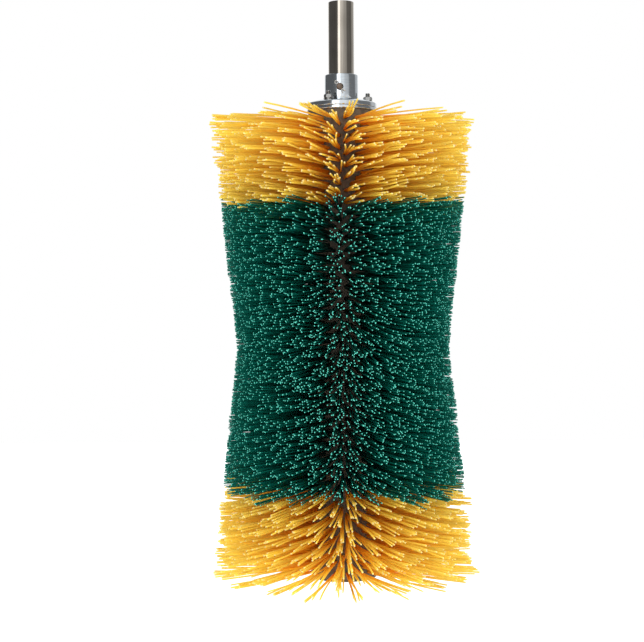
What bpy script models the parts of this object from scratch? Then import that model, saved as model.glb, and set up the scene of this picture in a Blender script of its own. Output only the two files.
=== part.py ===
"""Rotating cow brush: an hourglass drum of bristle tufts that turns on a hanging shaft.

Metres, +Z up. The origin is the centre of the shaft's top end. The front, where the
cross pin shows its split pin, looks along -Y.
"""
import math

import bmesh
import bpy
from mathutils import Matrix, Vector

MM = 0.001

# Clearances
SEAT_GAP = 0.3 * MM            # between faces that rest on each other
RUNNING_GAP = 0.3 * MM         # radial, between the shaft and what turns on it
BOLT_CLEARANCE = 0.5 * MM      # radial, round a rod in its hole

# Shaft
SHAFT_DIAMETER = 42.4 * MM
SHAFT_WALL = 3.2 * MM
SHAFT_ABOVE_COLLAR = 119.0 * MM
SHAFT_BELOW_COLLAR = 2.0 * MM
SHAFT_CHAMFER = 0.8 * MM

# Collars
COLLAR_DIAMETER = 55.0 * MM
TOP_COLLAR_HEIGHT = 42.0 * MM
BOTTOM_COLLAR_HEIGHT = 20.0 * MM
COLLAR_CHAMFER = 1.5 * MM

# Cross pin and split pin of the top collar
CROSS_PIN_DIAMETER = 10.0 * MM
CROSS_PIN_BELOW_TOP = 22.0 * MM
CROSS_PIN_TURN = math.radians(-6.0)
CROSS_PIN_OVERHANG = 8.0 * MM
CROSS_PIN_CHAMFER = 1.0 * MM
PIN_HEAD_DIAMETER = 14.0 * MM
PIN_HEAD_THICKNESS = 3.0 * MM
SPLIT_WIRE_DIAMETER = 1.5 * MM
SPLIT_LEG_GAP = 0.2 * MM
SPLIT_EYE_DIAMETER = 6.0 * MM
SPLIT_LEG_LENGTH = 6.0 * MM
SPLIT_SPREAD = math.radians(24.0)
SPLIT_TILT = math.radians(52.0)

# Spring pin of the bottom collar
SPRING_PIN_DIAMETER = 8.0 * MM
SPRING_PIN_WALL = 1.2 * MM
SPRING_PIN_SLIT = 1.5 * MM
SPRING_PIN_INSET = 1.0 * MM

# Bushes and thrust washer
BUSH_WALL = 3.0 * MM
BUSH_RIM_DIAMETER = 54.0 * MM
BUSH_RIM_THICKNESS = 2.0 * MM
BOTTOM_BUSH_LENGTH = 15.0 * MM
THRUST_WASHER_DIAMETER = 54.0 * MM
THRUST_WASHER_THICKNESS = 2.0 * MM

# Hub flange and end plates
FLANGE_DIAMETER = 116.0 * MM
FLANGE_THICKNESS = 10.0 * MM
FLANGE_SLOPE_WIDTH = 7.0 * MM
FLANGE_SLOPE_HEIGHT = 3.0 * MM
TOP_PLATE_DIAMETER = 115.0 * MM
PLATE_THICKNESS = 5.0 * MM

# Threaded rods, nuts and washers
ROD_COUNT = 3
ROD_DIAMETER = 8.0 * MM
ROD_CIRCLE = 86.6 * MM
ROD_CHAMFER = 0.8 * MM
TOP_ROD_END = 6.0 * MM         # past the top nut
BOTTOM_ROD_END = 4.0 * MM      # past the bottom nut
NUT_ACROSS_FLATS = 13.0 * MM
NUT_HEIGHT = 6.5 * MM
WASHER_DIAMETER = 16.0 * MM
WASHER_THICKNESS = 1.6 * MM

# Core tube
CORE_DIAMETER = 110.0 * MM
CORE_WALL = 7.0 * MM
CORE_LENGTH = 770.0 * MM
CORE_RECESS_WALL = 3.0 * MM
CORE_RECESS_MARGIN = 4.0 * MM  # from the shaft's lower end to the core's lower end
CORE_CHAMFER = 1.0 * MM

# Tufts
TUFT_COLUMNS = 36
TUFT_TURN = math.radians(5.0)  # the outermost tufts stand this far right of the front
TUFT_FINGER_STEP = 22.0 * MM   # height between neighbouring staggered rows of fingers
TUFT_FINGER_DEPTH = 62.0 * MM
TUFT_TIP_SHARE = 0.58          # width of a finger's end, as a share of its cell
TUFT_END_MARGIN = 10.0 * MM    # bare core above the first tufts and below the last
TUFT_END_RISE = 8.0 * MM       # how far the outermost tufts fan past their roots
TUFT_VALLEY = 15.0 * MM        # between the outermost tufts, where the next row shows
TUFT_BAND_GAP = 0.4 * MM
UPPER_YELLOW_HEIGHT = 150.0 * MM
GREEN_HEIGHT = 460.0 * MM
BRUSH_END_DIAMETER = 438.0 * MM
BRUSH_WAIST_DIAMETER = 352.0 * MM

# Facets round a turned piece
LARGE_SIDES = 40
SHAFT_SIDES = 32
SMALL_SIDES = 16
NUT_SIDES = 6

CUTTER_OVERRUN = 5.0 * MM      # how far a cutter reaches past what it cuts
WELD = 0.00001

# Heights, worked down from the shaft's top end
TOP_COLLAR_TOP = -SHAFT_ABOVE_COLLAR
TOP_COLLAR_BOTTOM = TOP_COLLAR_TOP - TOP_COLLAR_HEIGHT
CROSS_PIN_HEIGHT = TOP_COLLAR_TOP - CROSS_PIN_BELOW_TOP
TOP_BUSH_TOP = TOP_COLLAR_BOTTOM - SEAT_GAP
FLANGE_TOP = TOP_BUSH_TOP - BUSH_RIM_THICKNESS - SEAT_GAP
TOP_PLATE_TOP = FLANGE_TOP - FLANGE_THICKNESS - SEAT_GAP
TOP_PLATE_BOTTOM = TOP_PLATE_TOP - PLATE_THICKNESS
CORE_TOP = TOP_PLATE_BOTTOM - SEAT_GAP
CORE_BOTTOM = CORE_TOP - CORE_LENGTH
SHAFT_BOTTOM = CORE_BOTTOM + CORE_RECESS_MARGIN
BOTTOM_COLLAR_BOTTOM = SHAFT_BOTTOM + SHAFT_BELOW_COLLAR
BOTTOM_COLLAR_TOP = BOTTOM_COLLAR_BOTTOM + BOTTOM_COLLAR_HEIGHT
THRUST_WASHER_BOTTOM = BOTTOM_COLLAR_TOP + SEAT_GAP
BOTTOM_BUSH_BOTTOM = THRUST_WASHER_BOTTOM + THRUST_WASHER_THICKNESS + SEAT_GAP
BOTTOM_PLATE_BOTTOM = BOTTOM_BUSH_BOTTOM + BUSH_RIM_THICKNESS + SEAT_GAP
BOTTOM_PLATE_TOP = BOTTOM_PLATE_BOTTOM + PLATE_THICKNESS
RECESS_TOP = BOTTOM_PLATE_TOP + SEAT_GAP
TOP_NUT_BOTTOM = FLANGE_TOP + SEAT_GAP + WASHER_THICKNESS + SEAT_GAP
BOTTOM_NUT_TOP = BOTTOM_PLATE_BOTTOM - SEAT_GAP - WASHER_THICKNESS - SEAT_GAP

# Radii
SHAFT_RADIUS = SHAFT_DIAMETER / 2
CORE_RADIUS = CORE_DIAMETER / 2
ROD_RADIUS = ROD_DIAMETER / 2
CROSS_PIN_RADIUS = CROSS_PIN_DIAMETER / 2
SPRING_PIN_RADIUS = SPRING_PIN_DIAMETER / 2


def hole_radius(radius, gap, sides):
    """Corner radius of a faceted hole whose flats stay one gap outside a round piece."""
    return (radius + gap) / math.cos(math.pi / sides)


SHAFT_BORE = hole_radius(SHAFT_RADIUS, RUNNING_GAP, SHAFT_SIDES)
BUSH_RADIUS = SHAFT_BORE + BUSH_WALL
BUSH_SEAT = hole_radius(BUSH_RADIUS, SEAT_GAP, SHAFT_SIDES)
ROD_HOLE = hole_radius(ROD_RADIUS, BOLT_CLEARANCE, SMALL_SIDES)
RECESS_RADIUS = CORE_RADIUS - CORE_RECESS_WALL


# Scene and materials

def clear_scene():
    for thing in list(bpy.data.objects):
        bpy.data.objects.remove(thing, do_unlink=True)


def new_collection(name):
    collection = bpy.data.collections.new(name)
    bpy.context.scene.collection.children.link(collection)
    return collection


def new_material(name, colour, roughness, metallic):
    material = bpy.data.materials.new(name)
    material.use_nodes = True
    shader = material.node_tree.nodes["Principled BSDF"]
    shader.inputs["Base Color"].default_value = (*colour, 1.0)
    shader.inputs["Roughness"].default_value = roughness
    shader.inputs["Metallic"].default_value = metallic
    return material


clear_scene()
PARTS = new_collection("rotating_cow_brush")
CUTTERS = new_collection("cutters")

STAINLESS = new_material("brushed stainless steel", (0.50, 0.48, 0.45), 0.32, 1.0)
ZINC = new_material("bright zinc plate", (0.62, 0.64, 0.67), 0.25, 1.0)
BEARING_PLASTIC = new_material("cast nylon", (0.75, 0.73, 0.66), 0.45, 0.0)
CORE_PLASTIC = new_material("grey polypropylene", (0.10, 0.08, 0.06), 0.55, 0.0)
YELLOW_BRISTLE = new_material("yellow nylon bristle", (0.73, 0.35, 0.02), 0.40, 0.0)
GREEN_BRISTLE = new_material("green nylon bristle", (0.003, 0.15, 0.10), 0.40, 0.0)

# The drum's pieces hang from this empty, which stands on the axis they turn about.
DRUM_AXIS = bpy.data.objects.new("drum_axis", None)
PARTS.objects.link(DRUM_AXIS)


# Making pieces

def add_object(name, mesh, material=None, turns=False):
    piece = bpy.data.objects.new(name, mesh)
    if material:
        mesh.materials.append(material)
        PARTS.objects.link(piece)
    else:
        piece.hide_render = True
        piece.display_type = "WIRE"
        CUTTERS.objects.link(piece)
    if turns:
        piece.parent = DRUM_AXIS
    return piece


def turned(name, profile, sides, material=None, turns=False):
    """Spin a closed outline of (radius, height) points round the object's Z axis."""
    mesh = bpy.data.meshes.new(name)
    points = [(radius, 0.0, height) for radius, height in profile]
    edges = [(i, (i + 1) % len(points)) for i in range(len(points))]
    mesh.from_pydata(points, edges, [])
    piece = add_object(name, mesh, material, turns)
    screw = piece.modifiers.new("turn", "SCREW")
    screw.axis = "Z"
    screw.angle = math.tau
    screw.steps = sides
    screw.render_steps = sides
    screw.use_merge_vertices = True
    screw.merge_threshold = WELD
    screw.use_smooth_shade = False
    return piece


def ring_profile(outer, inner, top, bottom, top_cut=0.0, bottom_cut=0.0):
    """Half-section of a ring, its outer side first and top to bottom."""
    points = []
    if top_cut:
        points.append((outer - top_cut, top))
    points.append((outer, top - top_cut))
    points.append((outer, bottom + bottom_cut))
    if bottom_cut:
        points.append((outer - bottom_cut, bottom))
    points += [(inner, bottom), (inner, top)]
    return points


def solid_cylinder(name, radius, length, sides, material=None, turns=False, chamfer=0.0):
    """A cylinder along the object's Z axis, centred on it."""
    shape = bmesh.new()
    bmesh.ops.create_cone(shape, cap_ends=True, segments=sides, radius1=radius,
                          radius2=radius, depth=length)
    if chamfer:
        rims = [edge for edge in shape.edges
                if abs(edge.verts[0].co.z - edge.verts[1].co.z) < WELD]
        bmesh.ops.bevel(shape, geom=rims, offset=chamfer, segments=1, affect="EDGES")
    mesh = bpy.data.meshes.new(name)
    shape.to_mesh(mesh)
    shape.free()
    return add_object(name, mesh, material, turns)


def boolean(piece, other, operation="DIFFERENCE"):
    cut = piece.modifiers.new(other.name, "BOOLEAN")
    cut.operation = operation
    cut.solver = "EXACT"
    cut.object = other


def shade(piece, angle=math.radians(35.0)):
    piece.data.shade_smooth()
    piece.data.set_sharp_from_angle(angle=angle)


def aim(piece, direction, place):
    """Put a piece's own Z axis along a direction."""
    piece.rotation_mode = "QUATERNION"
    piece.rotation_quaternion = Vector((0, 0, 1)).rotation_difference(direction)
    piece.location = place


def rod_places():
    for i in range(ROD_COUNT):
        angle = math.tau * i / ROD_COUNT
        yield i + 1, ROD_CIRCLE / 2 * math.cos(angle), ROD_CIRCLE / 2 * math.sin(angle)


# Shaft with its collars and pins

FRONT = Vector((math.sin(CROSS_PIN_TURN), -math.cos(CROSS_PIN_TURN), 0.0))


def cross_hole(name, pin_radius, height):
    """Cutter for the hole that a pin takes through a collar and the shaft."""
    cutter = solid_cylinder(name, hole_radius(pin_radius, SEAT_GAP, SMALL_SIDES),
                            COLLAR_DIAMETER + 2 * CUTTER_OVERRUN, SMALL_SIDES)
    aim(cutter, FRONT, (0, 0, height))
    return cutter


def make_shaft(top_hole, bottom_hole):
    bore = SHAFT_RADIUS - SHAFT_WALL
    profile = ring_profile(SHAFT_RADIUS, bore, 0.0, SHAFT_BOTTOM, SHAFT_CHAMFER, SHAFT_CHAMFER)
    shaft = turned("hanging_shaft", profile, SHAFT_SIDES, STAINLESS)
    boolean(shaft, top_hole)
    boolean(shaft, bottom_hole)


def make_collar(name, top, height, hole):
    profile = ring_profile(COLLAR_DIAMETER / 2, SHAFT_BORE, top, top - height,
                           COLLAR_CHAMFER, COLLAR_CHAMFER / 2)
    boolean(turned(name, profile, SHAFT_SIDES, ZINC), hole)


def make_cross_pin():
    """Clevis pin: its head behind the collar, its drilled end in front."""
    half = COLLAR_DIAMETER / 2 + CROSS_PIN_OVERHANG
    head_start = -COLLAR_DIAMETER / 2 - SEAT_GAP
    head = PIN_HEAD_DIAMETER / 2
    profile = [(0, half), (CROSS_PIN_RADIUS - CROSS_PIN_CHAMFER, half),
               (CROSS_PIN_RADIUS, half - CROSS_PIN_CHAMFER), (CROSS_PIN_RADIUS, head_start),
               (head, head_start), (head, head_start - PIN_HEAD_THICKNESS + CROSS_PIN_CHAMFER / 2),
               (head - CROSS_PIN_CHAMFER / 2, head_start - PIN_HEAD_THICKNESS),
               (0, head_start - PIN_HEAD_THICKNESS)]
    pin = turned("top_cross_pin", profile, SMALL_SIDES, ZINC)
    aim(pin, FRONT, (0, 0, CROSS_PIN_HEIGHT))
    hole = solid_cylinder("split_pin_hole", split_hole_radius(), 3 * CROSS_PIN_DIAMETER,
                          SMALL_SIDES)
    aim(hole, split_direction(), split_centre())
    boolean(pin, hole)


def split_hole_radius():
    width = SPLIT_WIRE_DIAMETER + SPLIT_LEG_GAP / 2
    return hole_radius(width, SEAT_GAP, SMALL_SIDES)


def split_centre():
    reach = COLLAR_DIAMETER / 2 + CROSS_PIN_OVERHANG / 2
    return FRONT * reach + Vector((0, 0, CROSS_PIN_HEIGHT))


def split_direction():
    """From the split pin's legs to its eye: up and to the left, square to the cross pin."""
    side = FRONT.cross(Vector((0, 0, 1)))
    return (side * math.cos(SPLIT_TILT) + Vector((0, 0, 1)) * math.sin(SPLIT_TILT)).normalized()


def split_pin_path():
    """Wire centres in the pin's own plane: X across the legs, Y from the legs to the eye."""
    leg_x = (SPLIT_WIRE_DIAMETER + SPLIT_LEG_GAP) / 2
    eye = (SPLIT_EYE_DIAMETER - SPLIT_WIRE_DIAMETER) / 2
    throat = CROSS_PIN_RADIUS + SEAT_GAP + SPLIT_WIRE_DIAMETER / 2
    opening = math.asin(leg_x / eye)
    eye_y = throat + eye * math.cos(opening)
    bend = Vector((leg_x, -throat))
    leg_end = bend + SPLIT_LEG_LENGTH * Vector((math.sin(SPLIT_SPREAD), -math.cos(SPLIT_SPREAD)))
    right = [leg_end, bend, Vector((leg_x, throat))]
    steps = 8
    sweep = math.tau - 2 * opening
    arc = [opening + sweep * i / steps - math.pi / 2 for i in range(1, steps)]
    turn = [Vector((eye * math.cos(a), eye_y + eye * math.sin(a))) for a in arc]
    left = [Vector((-point.x, point.y)) for point in reversed(right)]
    return right + turn + left


def make_split_pin():
    curve = bpy.data.curves.new("top_split_pin", "CURVE")
    curve.dimensions = "3D"
    curve.bevel_depth = SPLIT_WIRE_DIAMETER / 2
    curve.bevel_resolution = 1
    curve.use_fill_caps = True
    path = split_pin_path()
    wire = curve.splines.new("POLY")
    wire.points.add(len(path) - 1)
    for point, place in zip(wire.points, path):
        point.co = (place.x, place.y, 0.0, 1.0)
    curve.materials.append(STAINLESS)
    pin = bpy.data.objects.new("top_split_pin", curve)
    PARTS.objects.link(pin)
    up = split_direction()
    across = up.cross(FRONT)
    turn = Matrix((across, up, across.cross(up))).transposed()
    pin.matrix_world = Matrix.Translation(split_centre()) @ turn.to_4x4()


def make_spring_pin(height):
    """A rolled tube with a slit along its whole length."""
    half = COLLAR_DIAMETER / 2 - SPRING_PIN_INSET
    profile = ring_profile(SPRING_PIN_RADIUS, SPRING_PIN_RADIUS - SPRING_PIN_WALL, half, -half)
    pin = turned("bottom_spring_pin", profile, SMALL_SIDES, STAINLESS)
    aim(pin, FRONT, (0, 0, height))
    shape = bmesh.new()
    bmesh.ops.create_cube(shape, size=1.0)
    slit_depth = 3 * SPRING_PIN_WALL
    bmesh.ops.scale(shape, vec=(SPRING_PIN_SLIT, slit_depth, COLLAR_DIAMETER), verts=shape.verts)
    bmesh.ops.translate(shape, vec=(0, SPRING_PIN_RADIUS, 0), verts=shape.verts)
    mesh = bpy.data.meshes.new("spring_pin_slit")
    shape.to_mesh(mesh)
    shape.free()
    slit = add_object("spring_pin_slit", mesh)
    aim(slit, FRONT, (0, 0, height))
    boolean(pin, slit)


def make_thrust_washer():
    top = THRUST_WASHER_BOTTOM + THRUST_WASHER_THICKNESS
    turned("thrust_washer", ring_profile(THRUST_WASHER_DIAMETER / 2, SHAFT_BORE, top,
                                         THRUST_WASHER_BOTTOM), SHAFT_SIDES, STAINLESS)


# Drum ends

def rod_holes():
    """One cutter for all the rod holes, as long as the drum."""
    shape = bmesh.new()
    top = TOP_BUSH_TOP
    bottom = SHAFT_BOTTOM
    for _, x, y in rod_places():
        place = Matrix.Translation((x, y, (top + bottom) / 2))
        bmesh.ops.create_cone(shape, cap_ends=True, segments=SMALL_SIDES, radius1=ROD_HOLE,
                              radius2=ROD_HOLE, depth=top - bottom, matrix=place)
    mesh = bpy.data.meshes.new("rod_holes")
    shape.to_mesh(mesh)
    shape.free()
    return add_object("rod_holes", mesh)


def make_flange(holes):
    rim = FLANGE_DIAMETER / 2
    bottom = FLANGE_TOP - FLANGE_THICKNESS
    profile = [(rim - FLANGE_SLOPE_WIDTH, FLANGE_TOP), (rim, FLANGE_TOP - FLANGE_SLOPE_HEIGHT),
               (rim, bottom), (BUSH_SEAT, bottom), (BUSH_SEAT, FLANGE_TOP)]
    boolean(turned("hub_flange", profile, LARGE_SIDES, ZINC, turns=True), holes)


def make_end_plate(name, radius, top, holes):
    profile = ring_profile(radius, BUSH_SEAT, top, top - PLATE_THICKNESS)
    boolean(turned(name, profile, LARGE_SIDES, ZINC, turns=True), holes)


def make_top_bush():
    rim = BUSH_RIM_DIAMETER / 2
    rim_bottom = TOP_BUSH_TOP - BUSH_RIM_THICKNESS
    profile = [(rim, TOP_BUSH_TOP), (rim, rim_bottom), (BUSH_RADIUS, rim_bottom),
               (BUSH_RADIUS, TOP_PLATE_BOTTOM), (SHAFT_BORE, TOP_PLATE_BOTTOM),
               (SHAFT_BORE, TOP_BUSH_TOP)]
    turned("top_bush", profile, SHAFT_SIDES, BEARING_PLASTIC, turns=True)


def make_bottom_bush():
    rim = BUSH_RIM_DIAMETER / 2
    rim_top = BOTTOM_BUSH_BOTTOM + BUSH_RIM_THICKNESS
    top = BOTTOM_BUSH_BOTTOM + BOTTOM_BUSH_LENGTH
    profile = [(BUSH_RADIUS, top), (BUSH_RADIUS, rim_top), (rim, rim_top),
               (rim, BOTTOM_BUSH_BOTTOM), (SHAFT_BORE, BOTTOM_BUSH_BOTTOM), (SHAFT_BORE, top)]
    turned("bottom_bush", profile, SHAFT_SIDES, BEARING_PLASTIC, turns=True)


# Threaded rods with their nuts and washers

def make_rod(name, x, y):
    top = TOP_NUT_BOTTOM + NUT_HEIGHT + TOP_ROD_END
    bottom = BOTTOM_NUT_TOP - NUT_HEIGHT - BOTTOM_ROD_END
    rod = solid_cylinder(name, ROD_RADIUS, top - bottom, SMALL_SIDES, ZINC, True, ROD_CHAMFER)
    rod.location = (x, y, (top + bottom) / 2)


def make_washer(name, x, y, bottom):
    profile = ring_profile(WASHER_DIAMETER / 2, ROD_HOLE, WASHER_THICKNESS, 0.0)
    turned(name, profile, SMALL_SIDES, ZINC, turns=True).location = (x, y, bottom)


def make_nut(name, x, y, bottom, bore):
    """A hexagon with one flat facing outwards."""
    corner = NUT_ACROSS_FLATS / 2 / math.cos(math.pi / NUT_SIDES)
    nut = solid_cylinder(name, corner, NUT_HEIGHT, NUT_SIDES, ZINC, True)
    nut.location = (x, y, bottom + NUT_HEIGHT / 2)
    nut.rotation_euler.z = math.atan2(y, x) + math.pi / NUT_SIDES
    bore_cut = bore.copy()
    CUTTERS.objects.link(bore_cut)
    bore_cut.location = nut.location
    boolean(nut, bore_cut)


def make_nut_bore():
    return solid_cylinder("nut_bore", ROD_HOLE, NUT_HEIGHT + 2 * CUTTER_OVERRUN, SMALL_SIDES)


# Core and tufts

def make_core():
    outer = CORE_RADIUS
    bore = CORE_RADIUS - CORE_WALL
    profile = [(outer - CORE_CHAMFER, CORE_TOP), (outer, CORE_TOP - CORE_CHAMFER),
               (outer, CORE_BOTTOM + CORE_CHAMFER), (outer - CORE_CHAMFER, CORE_BOTTOM),
               (RECESS_RADIUS, CORE_BOTTOM), (RECESS_RADIUS, RECESS_TOP),
               (bore, RECESS_TOP), (bore, CORE_TOP)]
    turned("core_tube", profile, LARGE_SIDES, CORE_PLASTIC, turns=True)


def tip_radius(height):
    """The drum is widest at its ends and narrows in straight lines to its waist."""
    middle = (CORE_TOP + CORE_BOTTOM) / 2
    share = abs(height - middle) / (CORE_LENGTH / 2)
    return (BRUSH_WAIST_DIAMETER + share * (BRUSH_END_DIAMETER - BRUSH_WAIST_DIAMETER)) / 2


def lattice(band_top, band_bottom):
    """An open tube of diamonds round the axis, one for each finger, with a radius of 1."""
    rows = 2 * max(1, round((band_top - band_bottom) / (2 * TUFT_FINGER_STEP)))
    tube = bmesh.new()
    bmesh.ops.create_grid(tube, x_segments=TUFT_COLUMNS // 2, y_segments=rows // 2, size=0.5)
    for vertex in tube.verts:
        angle = vertex.co.x * math.tau + TUFT_TURN
        height = band_bottom + (vertex.co.y + 0.5) * (band_top - band_bottom)
        vertex.co = (math.cos(angle), math.sin(angle), height)
    bmesh.ops.remove_doubles(tube, verts=tube.verts[:], dist=WELD)
    square_sides = [edge for edge in tube.edges if not edge.is_boundary]
    bmesh.ops.poke(tube, faces=tube.faces[:])
    bmesh.ops.dissolve_edges(tube, edges=square_sides, use_verts=False)
    rims = [edge for edge in tube.edges if edge.is_boundary]
    bmesh.ops.subdivide_edges(tube, edges=rims, cuts=1)
    return tube


def make_tufts(name, band_top, band_bottom, fan, material):
    """One closed band of the bristle mass. Its outer side is cut into staggered fingers,
    each with a flat end on the hourglass. fan tells how far the band's top and bottom
    rows rise and drop past their roots. An end that fans is also cut into valleys."""
    middle = (band_top + band_bottom) / 2
    half = (band_top - band_bottom) / 2
    band = lattice(band_top, band_bottom)
    for rim_height, rise, inwards in ((band_top, fan[0], -1), (band_bottom, fan[1], 1)):
        rim = [vertex for vertex in band.verts if abs(vertex.co.z - rim_height) < WELD]
        for vertex in rim:
            if rise and len(vertex.link_edges) > 2:
                vertex.co.z += inwards * TUFT_VALLEY
    for vertex in band.verts:
        radius = tip_radius(vertex.co.z) - TUFT_FINGER_DEPTH
        vertex.co.xy = vertex.co.xy.normalized() * radius
    for cell in band.faces[:]:
        centre = cell.calc_center_bounds()
        share = (centre.z - middle) / half
        lift = share * (fan[0] if share > 0 else fan[1])
        for corner in bmesh.ops.extrude_discrete_faces(band, faces=[cell])["faces"][0].verts:
            place = centre + (corner.co - centre) * TUFT_TIP_SHARE
            flat = place.xy.normalized() * tip_radius(place.z)
            corner.co = (flat.x, flat.y, place.z + lift)
    close_band(band)
    mesh = bpy.data.meshes.new(name)
    band.to_mesh(mesh)
    band.free()
    add_object(name, mesh, material, turns=True)


def close_band(band):
    """Turn the band's two ends in to the core and bridge them with the bore."""
    bore = hole_radius(CORE_RADIUS, SEAT_GAP, TUFT_COLUMNS)
    rims = [edge for edge in band.edges if edge.is_boundary]
    made = bmesh.ops.extrude_edge_only(band, edges=rims)["geom"]
    for vertex in [thing for thing in made if isinstance(thing, bmesh.types.BMVert)]:
        vertex.co.xy = vertex.co.xy.normalized() * bore
    inner = [thing for thing in made if isinstance(thing, bmesh.types.BMEdge)]
    bmesh.ops.bridge_loops(band, edges=inner)
    bmesh.ops.recalc_face_normals(band, faces=band.faces[:])
    if band.calc_volume(signed=True) < 0:
        bmesh.ops.reverse_faces(band, faces=band.faces[:])


def make_bristles():
    top = CORE_TOP - TUFT_END_MARGIN
    bottom = CORE_BOTTOM + TUFT_END_MARGIN
    waist = (CORE_TOP + CORE_BOTTOM) / 2
    green_top = top - UPPER_YELLOW_HEIGHT
    green_bottom = green_top - GREEN_HEIGHT
    gap = TUFT_BAND_GAP
    make_tufts("upper_yellow_tufts", top, green_top, (TUFT_END_RISE, 0), YELLOW_BRISTLE)
    make_tufts("upper_green_tufts", green_top - gap, waist, (0, 0), GREEN_BRISTLE)
    make_tufts("lower_green_tufts", waist - gap, green_bottom, (0, 0), GREEN_BRISTLE)
    make_tufts("lower_yellow_tufts", green_bottom - gap, bottom, (0, TUFT_END_RISE),
               YELLOW_BRISTLE)


def main():
    bottom_pin_height = (BOTTOM_COLLAR_TOP + BOTTOM_COLLAR_BOTTOM) / 2
    top_hole = cross_hole("top_cross_hole", CROSS_PIN_RADIUS, CROSS_PIN_HEIGHT)
    bottom_hole = cross_hole("bottom_cross_hole", SPRING_PIN_RADIUS, bottom_pin_height)
    make_shaft(top_hole, bottom_hole)
    make_collar("top_collar", TOP_COLLAR_TOP, TOP_COLLAR_HEIGHT, top_hole)
    make_collar("bottom_collar", BOTTOM_COLLAR_TOP, BOTTOM_COLLAR_HEIGHT, bottom_hole)
    make_cross_pin()
    make_split_pin()
    make_spring_pin(bottom_pin_height)
    make_thrust_washer()

    holes = rod_holes()
    plate_fit = (RECESS_RADIUS - SEAT_GAP) * math.cos(math.pi / LARGE_SIDES)
    make_flange(holes)
    make_end_plate("top_end_plate", TOP_PLATE_DIAMETER / 2, TOP_PLATE_TOP, holes)
    make_end_plate("bottom_end_plate", plate_fit, BOTTOM_PLATE_TOP, holes)
    make_top_bush()
    make_bottom_bush()
    bore = make_nut_bore()
    for number, x, y in rod_places():
        make_rod(f"tie_rod_{number}", x, y)
        make_washer(f"top_washer_{number}", x, y, FLANGE_TOP + SEAT_GAP)
        make_nut(f"top_nut_{number}", x, y, TOP_NUT_BOTTOM, bore)
        make_washer(f"bottom_washer_{number}", x, y,
                    BOTTOM_PLATE_BOTTOM - SEAT_GAP - WASHER_THICKNESS)
        make_nut(f"bottom_nut_{number}", x, y, BOTTOM_NUT_TOP - NUT_HEIGHT, bore)
    make_core()
    make_bristles()
    for piece in PARTS.objects:
        if piece.type == "MESH":
            shade(piece)


main()
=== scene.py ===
import math

import bpy
import numpy as np
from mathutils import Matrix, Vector


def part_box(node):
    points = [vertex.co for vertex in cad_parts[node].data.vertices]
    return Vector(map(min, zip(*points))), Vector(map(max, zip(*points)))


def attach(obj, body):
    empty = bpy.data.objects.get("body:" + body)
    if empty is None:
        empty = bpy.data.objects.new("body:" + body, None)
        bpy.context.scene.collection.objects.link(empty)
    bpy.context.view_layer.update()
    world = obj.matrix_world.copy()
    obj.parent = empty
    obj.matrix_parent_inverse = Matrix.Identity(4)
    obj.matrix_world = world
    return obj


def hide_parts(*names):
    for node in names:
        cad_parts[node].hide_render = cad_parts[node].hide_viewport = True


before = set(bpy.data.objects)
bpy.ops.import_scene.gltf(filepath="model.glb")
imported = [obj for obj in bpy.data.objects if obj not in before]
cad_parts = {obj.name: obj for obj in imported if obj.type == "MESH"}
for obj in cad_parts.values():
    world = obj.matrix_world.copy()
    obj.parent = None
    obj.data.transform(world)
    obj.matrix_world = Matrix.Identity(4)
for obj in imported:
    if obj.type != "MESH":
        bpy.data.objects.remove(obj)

MM = 0.001
SEED = 7
UP = Vector((0.0, 0.0, 1.0))

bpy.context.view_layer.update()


# Sizes read from the frame

def span(node):
    """Centre, radius and height range of a CAD node that stands upright."""
    low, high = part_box(node)
    return (low + high) / 2, (high.x - low.x) / 2, low.z, high.z


SHAFT_RADIUS = span("hanging_shaft")[1]
SHAFT_BOTTOM, SHAFT_TOP = span("hanging_shaft")[2:]
COLLAR_RADIUS, COLLAR_BOTTOM, COLLAR_TOP = span("top_collar")[1:]
FLANGE_RADIUS, FLANGE_BOTTOM, FLANGE_TOP = span("hub_flange")[1:]
TOP_PLATE_RADIUS, TOP_PLATE_BOTTOM, TOP_PLATE_TOP = span("top_end_plate")[1:]
END_PLATE_RADIUS, END_PLATE_BOTTOM, END_PLATE_TOP = span("bottom_end_plate")[1:]
CORE_RADIUS, CORE_BOTTOM, CORE_TOP = span("core_tube")[1:]
RIM_RADIUS, TOP_BUSH_BOTTOM, TOP_BUSH_TOP = span("top_bush")[1:]
BOTTOM_BUSH_BOTTOM, BOTTOM_BUSH_TOP = span("bottom_bush")[2:]
THRUST_BOTTOM, THRUST_TOP = span("thrust_washer")[2:]
LOWER_COLLAR_BOTTOM, LOWER_COLLAR_TOP = span("bottom_collar")[2:]
ROD_RADIUS, ROD_BOTTOM, ROD_TOP = span("tie_rod_1")[1:]
WASHER_RADIUS = span("top_washer_1")[1]
WASHER_THICKNESS = span("top_washer_1")[3] - span("top_washer_1")[2]
NUT_HEIGHT = span("top_nut_1")[3] - span("top_nut_1")[2]
ROD_NUMBERS = (1, 2, 3)

# Sizes that the frame doesn't give
SHAFT_WALL = 3.2 * MM
RUNNING_GAP = 0.3 * MM
BUSH_WALL = 3.0 * MM
BUSH_RIM = 2.0 * MM
SEAT_GAP = 0.3 * MM
BOLT_GAP = 0.5 * MM
NUT_GAP = 0.1 * MM
PIN_RADIUS = 5.0 * MM
PIN_HEAD_RADIUS = 7.0 * MM
PIN_HEAD_THICKNESS = 3.0 * MM
PIN_OVERHANG = 8.0 * MM
PIN_CLEARANCE = 0.9 * MM
PIN_HEIGHT = COLLAR_TOP - 22.0 * MM
PIN_TURN = math.radians(-6.0)
SPRING_PIN_RADIUS = 4.0 * MM
SPRING_PIN_WALL = 1.2 * MM
SPRING_PIN_SLIT = 1.5 * MM
SPLIT_HOLE_RADIUS = 1.9 * MM
SPLIT_WIRE_RADIUS = 0.85 * MM
SPLIT_LEG_GAP = 0.2 * MM
SPLIT_THROAT = 1.0 * MM
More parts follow.
